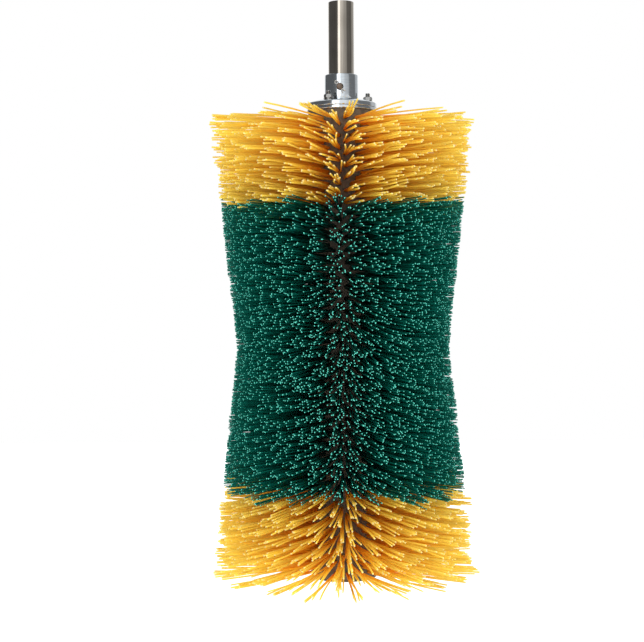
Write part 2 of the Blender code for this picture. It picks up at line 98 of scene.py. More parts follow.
SPLIT_EYE_RADIUS = 2.5 * MM
SPLIT_LEG_LENGTH = 6.5 * MM
SPLIT_SPREAD = math.radians(14.0)
SPLIT_TILT = math.radians(52.0)
NUT_FLATS = 13.0 * MM
NUT_CORNER_CHAMFER = 1.3 * MM
THREAD_PITCH = 1.25 * MM
THREAD_DEPTH = 0.7 * MM
TOP_THREAD_TURNS = 16
BOTTOM_THREAD_TURNS = 13
CORE_WALL = 7.0 * MM
CORE_RECESS_WALL = 3.0 * MM
BORE_DRAWN_DOWN = 300.0 * MM
FLANGE_SLOPE_WIDTH = 7.0 * MM
FLANGE_SLOPE_HEIGHT = 3.0 * MM

# Sizes that follow from both
BORE_RADIUS = SHAFT_RADIUS + RUNNING_GAP
BUSH_RADIUS = BORE_RADIUS + BUSH_WALL
BUSH_SEAT = BUSH_RADIUS + SEAT_GAP
LOWER_PIN_HEIGHT = (LOWER_COLLAR_TOP + LOWER_COLLAR_BOTTOM) / 2

# How many sides the round pieces and their holes have
PLATE_SIDES = 128
TUBE_SIDES = 96
BUSH_SIDES = 80
WASHER_SIDES = 48
CROSS_HOLE_SIDES = 40
PIN_SIDES = 32
SPLIT_HOLE_SIDES = 24
ROD_SIDES = 20

# How closely places agree when faces and edges are picked in code, how square a face looks
# along Z to count as an end, and how far a cutter runs past what it cuts
LEVEL = 0.001 * MM
CLOSE = 0.02 * MM
SQUARE_ON = 0.9
OVERRUN = 10.0 * MM

# Tuft layout: staggered columns of drilled holes
COLUMNS = 36
HOLE_PITCH = 19.5 * MM
HALF_ROW = HOLE_PITCH / 2
FIRST_HALF_ROW = 15.0 * MM
HALF_ROWS = 77
UPPER_YELLOW_ROWS = 15
GREEN_ROWS = 47
HOLE_RADIUS = 3.5 * MM
HOLE_DEPTH = 4.0 * MM
COLUMN_ANGLE = math.tau / COLUMNS

# The flat cell of the core's skin: a unit square with a round hole
CELL_HALF = 0.5
CELL_HOLE = 0.25

# The hourglass that the tufts' tips follow
WAIST = (CORE_TOP + CORE_BOTTOM) / 2
WAIST_TIP_RADIUS = 176.0 * MM
END_TIP_RADIUS = 218.5 * MM
ROOT_RADIUS = CORE_RADIUS - HOLE_DEPTH + 0.5 * MM

# The flat cut end of a strand: how far it is set in, as a share of the radius, how far it is
# raised, as a share of the length, and what the attribute along reads there, where the material
# paints a pale highlight
CUT_INSET = 0.30
CUT_RISE = 0.0012
CUT_READING = 1.5

# How far neighbouring tufts lean together, and the waves of the random field they follow
LEAN_SIDE = 3.5 * MM
LEAN_UP = 3.0 * MM
FIELD_WAVES = 10
FIELD_LENGTH = 275.0 * MM

# Single strands: how many go astray and how far, how far they bow, and how much their
# thickness differs. Whole tufts reach out unevenly by a share of what their strands do.
STRAY_SHARE = 0.02
STRAY = 12.0 * MM
BOW = 1.5 * MM
THICKNESS_RANGE = (0.9, 1.08)
TUFT_UNEVEN_SHARE = 0.6

# How many strands a tuft has, how thick they are, how far its tips fan out sideways and
# up, and how much single strands and whole tufts differ
YELLOW = {"count": 6, "radius": 1.3 * MM, "sides": 6, "cuts": 3, "material": "yellow",
          "slot": "yellow_bristle", "fan": (11.5 * MM, 4.6 * MM), "noise": (1.7 * MM, 1.1 * MM),
          "uneven": 5.5 * MM, "tuft_wander": 1.8 * MM}
GREEN = {"count": 14, "radius": 0.95 * MM, "sides": 5, "cuts": 2, "material": "green",
         "slot": "green_bristle", "fan": (14.0 * MM, 8.0 * MM), "noise": (2.5 * MM, 2.5 * MM),
         "uneven": 1.2 * MM, "tuft_wander": 1.5 * MM}

# Where the photo's tufts lean: degrees to the right from the camera and millimetres under
# the core's top, how far the lean spreads each way, and how many millimetres the tips rise
LEANS = ((-45.0, 0.0, 28.0, 60.0, -9.0), (30.0, 0.0, 22.0, 50.0, -6.0),
         (-88.0, 152.0, 30.0, 45.0, 5.0), (88.0, 152.0, 30.0, 45.0, 6.0),
         (-38.0, 85.0, 28.0, 50.0, -5.0), (25.0, 370.0, 25.0, 90.0, -9.0),
         (-40.0, 610.0, 30.0, 40.0, -7.0), (45.0, 600.0, 25.0, 40.0, -6.0),
         (-78.0, 10.0, 26.0, 40.0, 8.0))

# Strands of the top row that stand up in the photo: the number of their tuft, to the right
# from the camera, how many they are, and how many millimetres their tips move up and to
# the right
LOOSE = ((0, 3, 13.0, -6.0), (1, 1, 19.0, 4.0), (16, 1, 10.0, 12.0))

# The photograph's camera
FRAME_WIDTH = 644
FRAME_HEIGHT = 642
FOCAL_PIXELS = 1281.0
SENSOR_MM = 36.0
CAMERA_DISTANCE = 2.128
PIXEL_SIZE = CAMERA_DISTANCE / FOCAL_PIXELS
AXIS_PIXEL_X = 342.4
EYE_PIXEL_Y = 275.0
EYE_DROP = 0.448
CAMERA_ROLL = math.radians(0.35)

# The floor, and what the lamps leave it short of white, to the camera and in metal
FLOOR_SIZE = 24.0
FLOOR_HEIGHT = -2.3
FLOOR_GLOW = 0.75
FLOOR_GLOW_IN_METAL = 0.05

# Softboxes: where each one stands, its size and its watts
LAMP_AIM = (0.0, 0.0, -0.45)
LAMPS = {"left": ((-2.5, -1.8, -0.6), (1.6, 2.2), 20.0),
         "right": ((2.5, -1.8, -0.8), (1.6, 2.2), 19.0),
         "front": ((0.0, -3.4, -1.0), (2.4, 2.4), 10.0),
         "overhead": ((0.0, -0.3, 2.2), (2.2, 2.2), 12.0)}

# What metal sees round it: degrees from the camera's side to the right, and brightness. A
# lit screen stands a little left of the camera, the sides of the room are darker, and
# behind the object is the white backdrop that the camera sees.
ROOM = ((-180, 1.0), (-152, 1.0), (-142, 0.12), (-60, 0.12), (-40, 0.16), (-33, 0.35),
        (-29, 2.4), (-12, 2.4), (-7, 1.02), (12, 0.96), (25, 0.66), (48, 0.50), (58, 0.20),
        (104, 0.18), (118, 0.55), (142, 0.55), (152, 1.0), (180, 1.0))
ROOM_PEAK = 2.4
WORLD_LEVEL = 0.90


# Modelling helpers

def deselect():
    bpy.ops.object.select_all(action="DESELECT")


def pick(piece):
    deselect()
    piece.select_set(True)
    bpy.context.view_layer.objects.active = piece


def named(name):
    piece = bpy.context.active_object
    piece.name = name
    piece.data.name = name
    return piece


def add_object(name, data):
    """An object for data that is ready, linked to the scene."""
    made = bpy.data.objects.new(name, data)
    bpy.context.scene.collection.objects.link(made)
    return made


def looks_up(centre, normal):
    return normal.z > SQUARE_ON


def looks_down(centre, normal):
    return normal.z < -SQUARE_ON


def looks_along(centre, normal):
    return abs(normal.z) > SQUARE_ON


def edit_select(piece, test, kind="FACE"):
    """In edit mode, select the faces, edges or vertices that pass. The test is given a
    face's centre and normal, an edge's two ends or a vertex's place."""
    bpy.ops.object.mode_set(mode="OBJECT")
    mesh = piece.data
    for group in (mesh.vertices, mesh.edges, mesh.polygons):
        for item in group:
            item.select = False
    if kind == "FACE":
        chosen = [face for face in mesh.polygons if test(face.center, face.normal)]
    elif kind == "EDGE":
        chosen = [edge for edge in mesh.edges
                  if test(*(mesh.vertices[v].co for v in edge.vertices))]
    else:
        chosen = [vertex for vertex in mesh.vertices if test(vertex.co)]
    for item in chosen:
        item.select = True
    bpy.context.tool_settings.mesh_select_mode = [kind == k for k in ("VERTEX", "EDGE", "FACE")]
    bpy.ops.object.mode_set(mode="EDIT")


def done(piece, smooth=30.0):
    """Leave edit mode, put the piece's place in its mesh and shade it by angle, if given."""
    if bpy.context.mode != "OBJECT":
        bpy.ops.object.mode_set(mode="OBJECT")
    pick(piece)
    bpy.ops.object.transform_apply(location=True, rotation=True, scale=True)
    if smooth is not None:
        bpy.ops.object.shade_smooth_by_angle(angle=math.radians(smooth))
    return piece


def apply_modifiers(piece):
    pick(piece)
    for modifier in list(piece.modifiers):
        bpy.ops.object.modifier_apply(modifier=modifier.name)


def cut(piece, cutter, operation="DIFFERENCE"):
    """Boolean that is applied at once, after which the cutter is thrown away."""
    modifier = piece.modifiers.new("cut", "BOOLEAN")
    modifier.operation = operation
    modifier.solver = "EXACT"
    modifier.object = cutter
    apply_modifiers(piece)
    bpy.data.objects.remove(cutter)


def bar(name, radius, bottom, top, sides, place=(0.0, 0.0)):
    bpy.ops.mesh.primitive_cylinder_add(vertices=sides, radius=radius, depth=top - bottom,
                                        location=(*place, (top + bottom) / 2))
    return named(name)


def drill(piece, radius, bottom, top, sides, place=(0.0, 0.0)):
    """Cut an upright round hole from under one height to over the other."""
    cut(piece, bar("hole", radius, bottom - OVERRUN, top + OVERRUN, sides, place))


def bevel_rims(piece, radii, width, segments=2, heights=None):
    """Round the circular edges that lie at one of the radii (and heights, if given)."""
    centre = piece.location.copy()

    def on_rim(a, b):
        if abs(a.z - b.z) > LEVEL:
            return False
        if heights and min(abs(a.z + centre.z - h) for h in heights) > CLOSE:
            return False
        return all(min(abs(v.xy.length - r) for r in radii) < CLOSE for v in (a, b))

    edit_select(piece, on_rim, "EDGE")
    bpy.ops.mesh.bevel(offset=width, segments=segments, affect="EDGES")
    bpy.ops.object.mode_set(mode="OBJECT")


def ring(name, outer, inner, bottom, top, sides, bevel=0.0):
    """A cylinder whose two ends are inset and bridged into a bore."""
    piece = bar(name, outer, bottom, top, sides)
    edit_select(piece, looks_along)
    bpy.ops.mesh.inset(thickness=(outer - inner) * math.cos(math.pi / sides))
    bpy.ops.mesh.bridge_edge_loops()
    bpy.ops.object.mode_set(mode="OBJECT")
    if bevel:
        bevel_rims(piece, (outer, inner), bevel)
    return piece


def copy_to(piece, name, offset, turn=0.0):
    """A copy with its own mesh, moved and turned about Z, its place in its mesh."""
    pick(piece)
    bpy.ops.object.duplicate()
    twin = named(name)
    twin.rotation_euler.z = turn
    twin.location = offset
    return done(twin, None)


# Materials

def srgb(code):
    """sRGB hex to linear RGBA."""
    values = [int(code[i:i + 2], 16) / 255 for i in (1, 3, 5)]
    linear = [v / 12.92 if v <= 0.04045 else ((v + 0.055) / 1.055) ** 2.4 for v in values]
    return (*linear, 1.0)


def node(tree, kind, settings=None, **links):
    """Add a node. Settings are its properties; links are sockets or constants, by the name
    of their input or by i and its number."""
    made = tree.nodes.new(kind)
    for key, value in (settings or {}).items():
        setattr(made, key, value)
    for key, value in links.items():
        socket = made.inputs[int(key[1:])] if key[0] == "i" and key[1:].isdigit() \
            else made.inputs[key.replace("_", " ")]
        if isinstance(value, bpy.types.NodeSocket):
            tree.links.new(value, socket)
        else:
            socket.default_value = value
    return made


def new_material(name, **constants):
    material = bpy.data.materials.new(name)
    material.use_nodes = True
    tree = material.node_tree
    shader = tree.nodes["Principled BSDF"]
    for key, value in constants.items():
        shader.inputs[key.replace("_", " ")].default_value = value
    return material, tree, shader


def ramp(tree, factor, stops):
    made = node(tree, "ShaderNodeValToRGB", i0=factor)
    elements = made.color_ramp.elements
    while len(elements) < len(stops):
        elements.new(0.5)
    for element, (position, colour) in zip(elements, stops):
        element.position = position
        element.color = colour
    return made.outputs["Color"]


def grey(value):
    return (value, value, value, 1.0)


def metal_material(name, base, dark, rough, rough_change, grain_mm, grain_stretch, bump_mm,
                   across=False):
    """Metal whose fine marks run along Z, or across it. Their width is in millimetres and
    coarser than the real marks', or they wouldn't show; slow clouds vary them."""
    material, tree, shader = new_material(name, Metallic=1.0)
    place = node(tree, "ShaderNodeTexCoord").outputs["Object"]
    fine = 1.0 / (grain_mm * MM)
    long = fine / grain_stretch
    scale = (long, long, fine) if across else (fine, fine, long)
    stretched = node(tree, "ShaderNodeMapping", Vector=place, Scale=scale).outputs["Vector"]
    grain = node(tree, "ShaderNodeTexNoise", Vector=stretched, Scale=1.0, Detail=3.0,
                 Roughness=0.6).outputs["Fac"]
    cloud_size = 35.0 * MM
    clouds = node(tree, "ShaderNodeTexNoise", Vector=place, Scale=1.0 / cloud_size,
                  Detail=2.0).outputs["Fac"]
    mixed = node(tree, "ShaderNodeMath", {"operation": "MULTIPLY_ADD"}, i0=clouds, i1=0.5,
                 i2=grain).outputs["Value"]
    tree.links.new(ramp(tree, mixed, [(0.35, srgb(dark)), (0.95, srgb(base))]),
                   shader.inputs["Base Color"])
    tree.links.new(ramp(tree, mixed, [(0.3, grey(rough + rough_change)), (1.0, grey(rough))]),
                   shader.inputs["Roughness"])
    bump = node(tree, "ShaderNodeBump", Strength=1.0, Distance=bump_mm * MM, Height=grain)
    tree.links.new(bump.outputs["Normal"], shader.inputs["Normal"])
    return material


def make_materials():
    made = {}
    # Drawn and polished stainless tube: soft streaks along its length widen the highlight.
    made["stainless"] = metal_material(
        "brushed stainless tube", base="#c6bfb4", dark="#8f877d", rough=0.05,
        rough_change=0.07, grain_mm=0.8, grain_stretch=60.0, bump_mm=0.003)
    # Turned steel under bright zinc: fine lathe rings and a bluish white shine.
    made["zinc"] = metal_material(
        "turned steel with bright zinc", base="#e6ecf1", dark="#bcc6cd", rough=0.05,
        rough_change=0.06, grain_mm=0.5, grain_stretch=40.0, bump_mm=0.001, across=True)
    # Zinc plated fasteners: the same plate over a cold-formed, slightly rough skin.
    made["fastener"] = metal_material(
        "zinc plated fastener steel", base="#c4c5c4", dark="#7d7b77", rough=0.20,
        rough_change=0.16, grain_mm=0.6, grain_stretch=3.0, bump_mm=0.008)
    # The clevis pin's oiled steel: dark brown, with a dull shine.
    made["pin"] = metal_material(
        "oiled dark pin steel", base="#7a6b60", dark="#3f3630", rough=0.30,
        rough_change=0.15, grain_mm=0.6, grain_stretch=3.0, bump_mm=0.006)
    # The split pin's drawn wire: pale and satin, so that it reads light all round.
    made["wire"] = metal_material(
        "bright split pin wire", base="#f2f1ee", dark="#d8d6d1", rough=0.42,
        rough_change=0.08, grain_mm=0.6, grain_stretch=3.0, bump_mm=0.002)
    made["nylon"] = nylon_material()
    made["core"] = core_material()
    # Thick yellow monofilament, glossy and slightly translucent. Painted shade turns it a deeper
    # amber towards the roots inside the brush, and its cut ends carry a pale painted highlight.
    made["yellow"] = bristle_material("yellow nylon monofilament", "#ffd552", "#fff098",
                                      "#fffbe0", 0.45, 0.82)
    # Thin dark green monofilament. Painted shade darkens it towards the roots, and its cut ends
    # carry a pale painted highlight.
    made["green"] = bristle_material("green nylon monofilament", "#003731", "#087767",
                                     "#6aeed6", 0.40, 0.1)
    return made


def nylon_material():
    """Turned cast nylon: off-white, waxy and faintly stained, with fine lathe rings. At
    scale 1, a Wave texture has 20 bands in a length of tau."""
    ring_pitch = 0.79 * MM
    stain_size = 12.0 * MM
    material, tree, shader = new_material("turned cast nylon", IOR=1.53,
                                          Subsurface_Weight=0.15, Subsurface_Scale=2.0 * MM)
    place = node(tree, "ShaderNodeTexCoord").outputs["Object"]
    lathe = node(tree, "ShaderNodeTexWave", {"bands_direction": "Z"}, Vector=place,
                 Scale=math.tau / 20.0 / ring_pitch, Distortion=1.5).outputs["Fac"]
    stain = node(tree, "ShaderNodeTexNoise", Vector=place, Scale=1.0 / stain_size,
                 Detail=3.0).outputs["Fac"]
    tree.links.new(ramp(tree, stain, [(0.3, srgb("#cfcabb")), (0.7, srgb("#e6e2d6"))]),
                   shader.inputs["Base Color"])
    tree.links.new(ramp(tree, stain, [(0.2, grey(0.5)), (0.8, grey(0.38))]),
                   shader.inputs["Roughness"])
    bump = node(tree, "ShaderNodeBump", Strength=0.5, Distance=0.02 * MM, Height=lathe)
    tree.links.new(bump.outputs["Normal"], shader.inputs["Normal"])
    return material


def core_material():
    """Extruded grey-brown polypropylene: satin, with faint draw lines and patches of dust."""
    line_width, line_length = 1.2 * MM, 60.0 * MM
    dust_size = 9.0 * MM
    material, tree, shader = new_material("grey extruded polypropylene", IOR=1.49)
    place = node(tree, "ShaderNodeTexCoord").outputs["Object"]
    stretched = node(tree, "ShaderNodeMapping", Vector=place,
                     Scale=(1.0 / line_width, 1.0 / line_width, 1.0 / line_length))
    lines = node(tree, "ShaderNodeTexNoise", Vector=stretched.outputs["Vector"], Scale=1.0,
                 Detail=4.0).outputs["Fac"]
    dust = node(tree, "ShaderNodeTexNoise", Vector=place, Scale=1.0 / dust_size, Detail=5.0,
                Roughness=0.65).outputs["Fac"]
    mixed = node(tree, "ShaderNodeMath", {"operation": "MULTIPLY_ADD"}, i0=lines, i1=0.35,
                 i2=dust).outputs["Value"]
    tree.links.new(ramp(tree, mixed, [(0.45, srgb("#4a4136")), (0.9, srgb("#726652"))]),
                   shader.inputs["Base Color"])
    tree.links.new(ramp(tree, mixed, [(0.4, grey(0.45)), (0.9, grey(0.65))]),
                   shader.inputs["Roughness"])
    bump = node(tree, "ShaderNodeBump", Strength=0.4, Distance=0.05 * MM, Height=lines)
    tree.links.new(bump.outputs["Normal"], shader.inputs["Normal"])
    return material


def bristle_material(name, root, body, tip, rough, through):
    """A strand reads its own two attributes: along, 0 at its root and CUT_READING on its cut end,
    and tone, which tells one strand from the next. Along picks the colour: painted shade, darker
    towards the root where the brush is deep, and a pale painted highlight on the cut end. Part of
    the light passes through. The ramp reads half of along, so the cut end starts just over 0.5.
    The draw marks are coarser than real ones, or they wouldn't show."""
    mark_size = 1.5 * MM
    material, tree, shader = new_material(name, IOR=1.45, Roughness=rough)
    along = node(tree, "ShaderNodeAttribute", {"attribute_name": "along"}).outputs["Fac"]
    tone = node(tree, "ShaderNodeAttribute", {"attribute_name": "tone"}).outputs["Fac"]
    half = node(tree, "ShaderNodeMath", {"operation": "MULTIPLY"}, i0=along, i1=0.5)
    # The root stop is painted shade, and the tip stops are a painted highlight on the cut end.
    colour = ramp(tree, half.outputs["Value"],
                  [(0.0, srgb(root)), (0.4, srgb(body)), (0.4985, srgb(body)),
                   (0.502, srgb(tip)), (1.0, srgb(tip))])
    value = node(tree, "ShaderNodeMapRange", Value=tone, To_Min=0.90, To_Max=1.05)
    hue = node(tree, "ShaderNodeMapRange", Value=tone, To_Min=0.494, To_Max=0.502)
    shifted = node(tree, "ShaderNodeHueSaturation", Color=colour, Hue=hue.outputs["Result"],
                   Value=value.outputs["Result"]).outputs["Color"]
    tree.links.new(shifted, shader.inputs["Base Color"])
    place = node(tree, "ShaderNodeTexCoord").outputs["Object"]
    drawn = node(tree, "ShaderNodeTexNoise", Vector=place, Scale=1.0 / mark_size,
                 Detail=2.0).outputs["Fac"]
    bump = node(tree, "ShaderNodeBump", Strength=0.3, Distance=0.08 * MM, Height=drawn)
    tree.links.new(bump.outputs["Normal"], shader.inputs["Normal"])
    glow = node(tree, "ShaderNodeBsdfTranslucent", Color=shifted)
    mix = node(tree, "ShaderNodeMixShader", i0=through, i1=shader.outputs["BSDF"],
               i2=glow.outputs["BSDF"])
    tree.links.new(mix.outputs["Shader"], tree.nodes["Material Output"].inputs["Surface"])
    return material


def finish_piece(piece, material, body, slot, *nodes):
    """Give a piece its material, its body and the CAD nodes it stands for; its record slot is not
    used.
    """
    piece.data.materials.clear()
    piece.data.materials.append(MATERIALS[material])
    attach(piece, body)
    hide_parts(*nodes)


# Shaft, collars and pins

FRONT = Vector((math.sin(PIN_TURN), -math.cos(PIN_TURN), 0.0))
TO_FRONT = (math.pi / 2, 0.0, PIN_TURN)
SPLIT_CENTRE = FRONT * (COLLAR_RADIUS + PIN_OVERHANG / 2) + UP * PIN_HEIGHT


def lying_bar(name, radius, length, sides, height, ahead=0.0):
    """A cylinder along the cross pin's direction."""
    place = FRONT * ahead
    bpy.ops.mesh.primitive_cylinder_add(vertices=sides, radius=radius, depth=length,
                                        location=(place.x, place.y, height),
                                        rotation=TO_FRONT)
    return named(name)


def drill_across(piece, radius, height, sides):
    """Cut a round hole right through, along the cross pin's direction."""
    cut(piece, lying_bar("hole", radius, 4 * COLLAR_RADIUS, sides, height))


def make_shaft():
    """A tube that is drilled across for each collar's pin."""
    piece = ring("stainless_shaft", SHAFT_RADIUS, SHAFT_RADIUS - SHAFT_WALL, SHAFT_BOTTOM,
                 SHAFT_TOP, TUBE_SIDES, bevel=0.6 * MM)
    done(piece, None)
    drill_across(piece, PIN_RADIUS + SEAT_GAP, PIN_HEIGHT, PIN_SIDES)
    drill_across(piece, SPRING_PIN_RADIUS + SEAT_GAP, LOWER_PIN_HEIGHT, PIN_SIDES)
    done(piece)
    finish_piece(piece, "stainless", "shaft", "stainless", "hanging_shaft")


def make_collar(name, bottom, top, pin_radius, pin_height, node_name):
    """A turned ring, well rounded at its top, with a wide hole across for its pin."""
    piece = ring(name, COLLAR_RADIUS, BORE_RADIUS, bottom, top, TUBE_SIDES)
    bevel_rims(piece, (COLLAR_RADIUS,), 1.6 * MM, segments=4, heights=(top,))
    bevel_rims(piece, (COLLAR_RADIUS,), 0.6 * MM, heights=(bottom,))
    bevel_rims(piece, (BORE_RADIUS,), 0.5 * MM, heights=(top,))
    done(piece, None)
    drill_across(piece, pin_radius + PIN_CLEARANCE, pin_height, CROSS_HOLE_SIDES)
    done(piece)
    finish_piece(piece, "zinc", "shaft", "zinc_plate", node_name)


def make_cross_pin():
    """Clevis pin: a plain bar with a head behind the collar, and with a hole for the split
    pin through its front end."""
    front = COLLAR_RADIUS + PIN_OVERHANG
    back = -COLLAR_RADIUS - SEAT_GAP
    length = front - back
    piece = lying_bar("clevis_pin", PIN_RADIUS, length, PIN_SIDES, PIN_HEIGHT, (front + back) / 2)
    bevel_pin_end(piece, length / 2)
    done(piece, None)
    head = lying_bar("head", PIN_HEAD_RADIUS, PIN_HEAD_THICKNESS, PIN_SIDES, PIN_HEIGHT,
                     back - PIN_HEAD_THICKNESS / 2)
    bevel_pin_end(head, PIN_HEAD_THICKNESS / 2, both=True)
    done(head, None)
    cut(piece, head, "UNION")
    bpy.ops.mesh.primitive_cylinder_add(vertices=SPLIT_HOLE_SIDES, radius=SPLIT_HOLE_RADIUS,
                                        depth=4 * PIN_RADIUS, location=SPLIT_CENTRE)
    hole = named("hole")
    hole.rotation_mode = "QUATERNION"
    hole.rotation_quaternion = UP.rotation_difference(split_direction())
    cut(piece, hole)
    done(piece)
    finish_piece(piece, "pin", "shaft", "zinc_plate", "top_cross_pin")


def bevel_pin_end(piece, half, both=False):
    """Round the edge of a lying bar's front end, or of both its ends. Each lies half the
    bar's length from its middle."""
    def at_end(a, b):
        level = abs(a.z - b.z) < LEVEL
        far = a.z > half - CLOSE or (both and a.z < -half + CLOSE)
        return level and far

    edit_select(piece, at_end, "EDGE")
    bpy.ops.mesh.bevel(offset=0.8 * MM, segments=2, affect="EDGES")
    bpy.ops.object.mode_set(mode="OBJECT")


def split_direction():
    """From the split pin's legs to its eye: up and to the left, square to the cross pin."""
    side = FRONT.cross(UP)
    return (side * math.cos(SPLIT_TILT) + UP * math.sin(SPLIT_TILT)).normalized()


def make_split_pin():
    """One wire: a spread leg, through the pin, round the eye, back through and out. Its path
    is drawn flat, x across the two legs and y towards the eye, with two points to soften
    the bend where a leg starts to spread."""
    leg = SPLIT_WIRE_RADIUS + SPLIT_LEG_GAP / 2
    throat = PIN_RADIUS + SPLIT_THROAT
    opening = math.asin(leg / SPLIT_EYE_RADIUS)
    eye_y = throat + SPLIT_EYE_RADIUS * math.cos(opening)
    bend = (leg, -throat + 0.4 * MM)
    foot = (leg + SPLIT_LEG_LENGTH * math.sin(SPLIT_SPREAD),
            -throat - SPLIT_LEG_LENGTH * math.cos(SPLIT_SPREAD))
    soft = (leg + 0.25 * MM, -throat - 0.6 * MM)
    right = [foot, soft, bend, (leg, throat)]
    sweep = math.tau - 2 * opening
    steps = 16
    angles = [opening + sweep * i / steps - math.pi / 2 for i in range(1, steps)]
    turn = [(SPLIT_EYE_RADIUS * math.cos(a), eye_y + SPLIT_EYE_RADIUS * math.sin(a))
            for a in angles]
    left = [(-x, y) for x, y in reversed(right)]
    curve = bpy.data.curves.new("split_pin", "CURVE")
    curve.dimensions = "3D"
    curve.bevel_depth = SPLIT_WIRE_RADIUS
    curve.bevel_resolution = 3
    curve.use_fill_caps = True
    path = right + turn + left
    wire = curve.splines.new("POLY")
    wire.points.add(len(path) - 1)
    up = split_direction()
    across = up.cross(FRONT)
    for point, (x, y) in zip(wire.points, path):
        point.co = (*(SPLIT_CENTRE + across * x + up * y), 1.0)
    pick(add_object("split_pin", curve))
    bpy.ops.object.convert(target="MESH")
    piece = named("split_pin")
    bpy.ops.object.mode_set(mode="EDIT")
    bpy.ops.mesh.select_all(action="SELECT")
    bpy.ops.mesh.remove_doubles(threshold=LEVEL)
    done(piece)
    finish_piece(piece, "wire", "shaft", "stainless", "top_split_pin")


def make_spring_pin():
    """A rolled tube with a slit along its top."""
    sunk = 1.0 * MM
    length = 2 * (COLLAR_RADIUS - sunk)
    piece = lying_bar("spring_pin", SPRING_PIN_RADIUS, length, PIN_SIDES, LOWER_PIN_HEIGHT)
    edit_select(piece, looks_along)
    bpy.ops.mesh.inset(thickness=SPRING_PIN_WALL)
    bpy.ops.mesh.bridge_edge_loops()
    done(piece, None)
    top = LOWER_PIN_HEIGHT + SPRING_PIN_RADIUS
    bpy.ops.mesh.primitive_cube_add(size=1.0, location=(0, 0, top), rotation=(0, 0, PIN_TURN))
    slit = named("slit")
    slit.scale = (SPRING_PIN_SLIT, 2 * length, 3 * SPRING_PIN_WALL)
    cut(piece, slit)
    done(piece)
    finish_piece(piece, "stainless", "shaft", "stainless", "bottom_spring_pin")


def make_thrust_washer():
    """The ring between the lower bush and the lower collar."""
    piece = ring("thrust_ring", RIM_RADIUS, BORE_RADIUS, THRUST_BOTTOM, THRUST_TOP, BUSH_SIDES,
                 bevel=0.3 * MM)
    finish_piece(done(piece), "stainless", "shaft", "stainless", "thrust_washer")


# Drum ends

def rod_place(number):
    return span(f"tie_rod_{number}")[0].xy


def drill_rod_holes(piece, bottom, top):
    for number in ROD_NUMBERS:
        drill(piece, ROD_RADIUS + BOLT_GAP, bottom, top, PIN_SIDES, rod_place(number))


def make_flange():
    """Round plate whose top is drawn up into a slope, bored and drilled."""
    slope_bottom = FLANGE_TOP - FLANGE_SLOPE_HEIGHT
    piece = bar("hub_plate", FLANGE_RADIUS, FLANGE_BOTTOM, slope_bottom, PLATE_SIDES)
    edit_select(piece, looks_up)
    bpy.ops.mesh.extrude_region_move(
        TRANSFORM_OT_translate={"value": (0, 0, FLANGE_SLOPE_HEIGHT)})
    shrink = (FLANGE_RADIUS - FLANGE_SLOPE_WIDTH) / FLANGE_RADIUS
    bpy.ops.transform.resize(value=(shrink, shrink, 1.0))
    bpy.ops.object.mode_set(mode="OBJECT")
    bevel_rims(piece, (FLANGE_RADIUS,), 0.5 * MM)
    bevel_rims(piece, (FLANGE_RADIUS - FLANGE_SLOPE_WIDTH,), 0.5 * MM)
    done(piece, None)
    drill(piece, BUSH_SEAT, FLANGE_BOTTOM, FLANGE_TOP, TUBE_SIDES)
    drill_rod_holes(piece, FLANGE_BOTTOM, FLANGE_TOP)
    finish_piece(done(piece), "zinc", "brush", "zinc_plate", "hub_flange")


def make_end_plate(name, radius, bottom, top, node_name):
    """A flat ring that closes the core, drilled for the rods."""
    piece = ring(name, radius, BUSH_SEAT, bottom, top, PLATE_SIDES, bevel=0.5 * MM)
    done(piece, None)
    drill_rod_holes(piece, bottom, top)
    finish_piece(done(piece), "zinc", "brush", "zinc_plate", node_name)


def make_bush(name, bottom, top, rim_at_top, node_name):
    """A sleeve, united with a rim that starts inside its wall at one end."""
    rim_bottom, rim_top = (top - BUSH_RIM, top) if rim_at_top else (bottom, bottom + BUSH_RIM)
    piece = ring(name, BUSH_RADIUS, BORE_RADIUS, bottom, top, BUSH_SIDES, bevel=0.3 * MM)
    done(piece, None)
    rim = ring("rim", RIM_RADIUS, BORE_RADIUS + BUSH_WALL / 2, rim_bottom, rim_top, BUSH_SIDES)
    bevel_rims(rim, (RIM_RADIUS,), 0.4 * MM)
    done(rim, None)
    cut(piece, rim, "UNION")
    finish_piece(done(piece), "nylon", "brush", "bearing_plastic", node_name)


# Threaded rods, nuts and washers

def thread_face(turns, direction):
    """Draw the selected end out into ridges, one half pitch at a time. They stand for the
    thread, whose slope wouldn't show."""
    minor = (ROD_RADIUS - THREAD_DEPTH) / ROD_RADIUS
    step = {"value": (0, 0, direction * THREAD_PITCH / 2)}
    for turn in range(turns):
        bpy.ops.mesh.extrude_region_move(TRANSFORM_OT_translate=step)
        bpy.ops.transform.resize(value=(minor, minor, 1.0))
        bpy.ops.mesh.extrude_region_move(TRANSFORM_OT_translate=step)
        widen = 1.0 / minor if turn < turns - 1 else 1.0
        bpy.ops.transform.resize(value=(widen, widen, 1.0))


def make_rods():
    """One rod, threaded at both ends, copied to its three places."""
    plain_top = ROD_TOP - TOP_THREAD_TURNS * THREAD_PITCH
    plain_bottom = ROD_BOTTOM + BOTTOM_THREAD_TURNS * THREAD_PITCH
    rod = bar("threaded_rod", ROD_RADIUS, plain_bottom, plain_top, ROD_SIDES)
    edit_select(rod, looks_up)
    thread_face(TOP_THREAD_TURNS, 1)
    edit_select(rod, looks_down)
    thread_face(BOTTOM_THREAD_TURNS, -1)
    done(rod, 20.0)
    for number in ROD_NUMBERS:
        x, y = rod_place(number)
        twin = copy_to(rod, f"threaded_rod_{number}", (x, y, 0.0))
        finish_piece(twin, "fastener", "brush", "zinc_plate", f"tie_rod_{number}")
    bpy.data.objects.remove(rod)


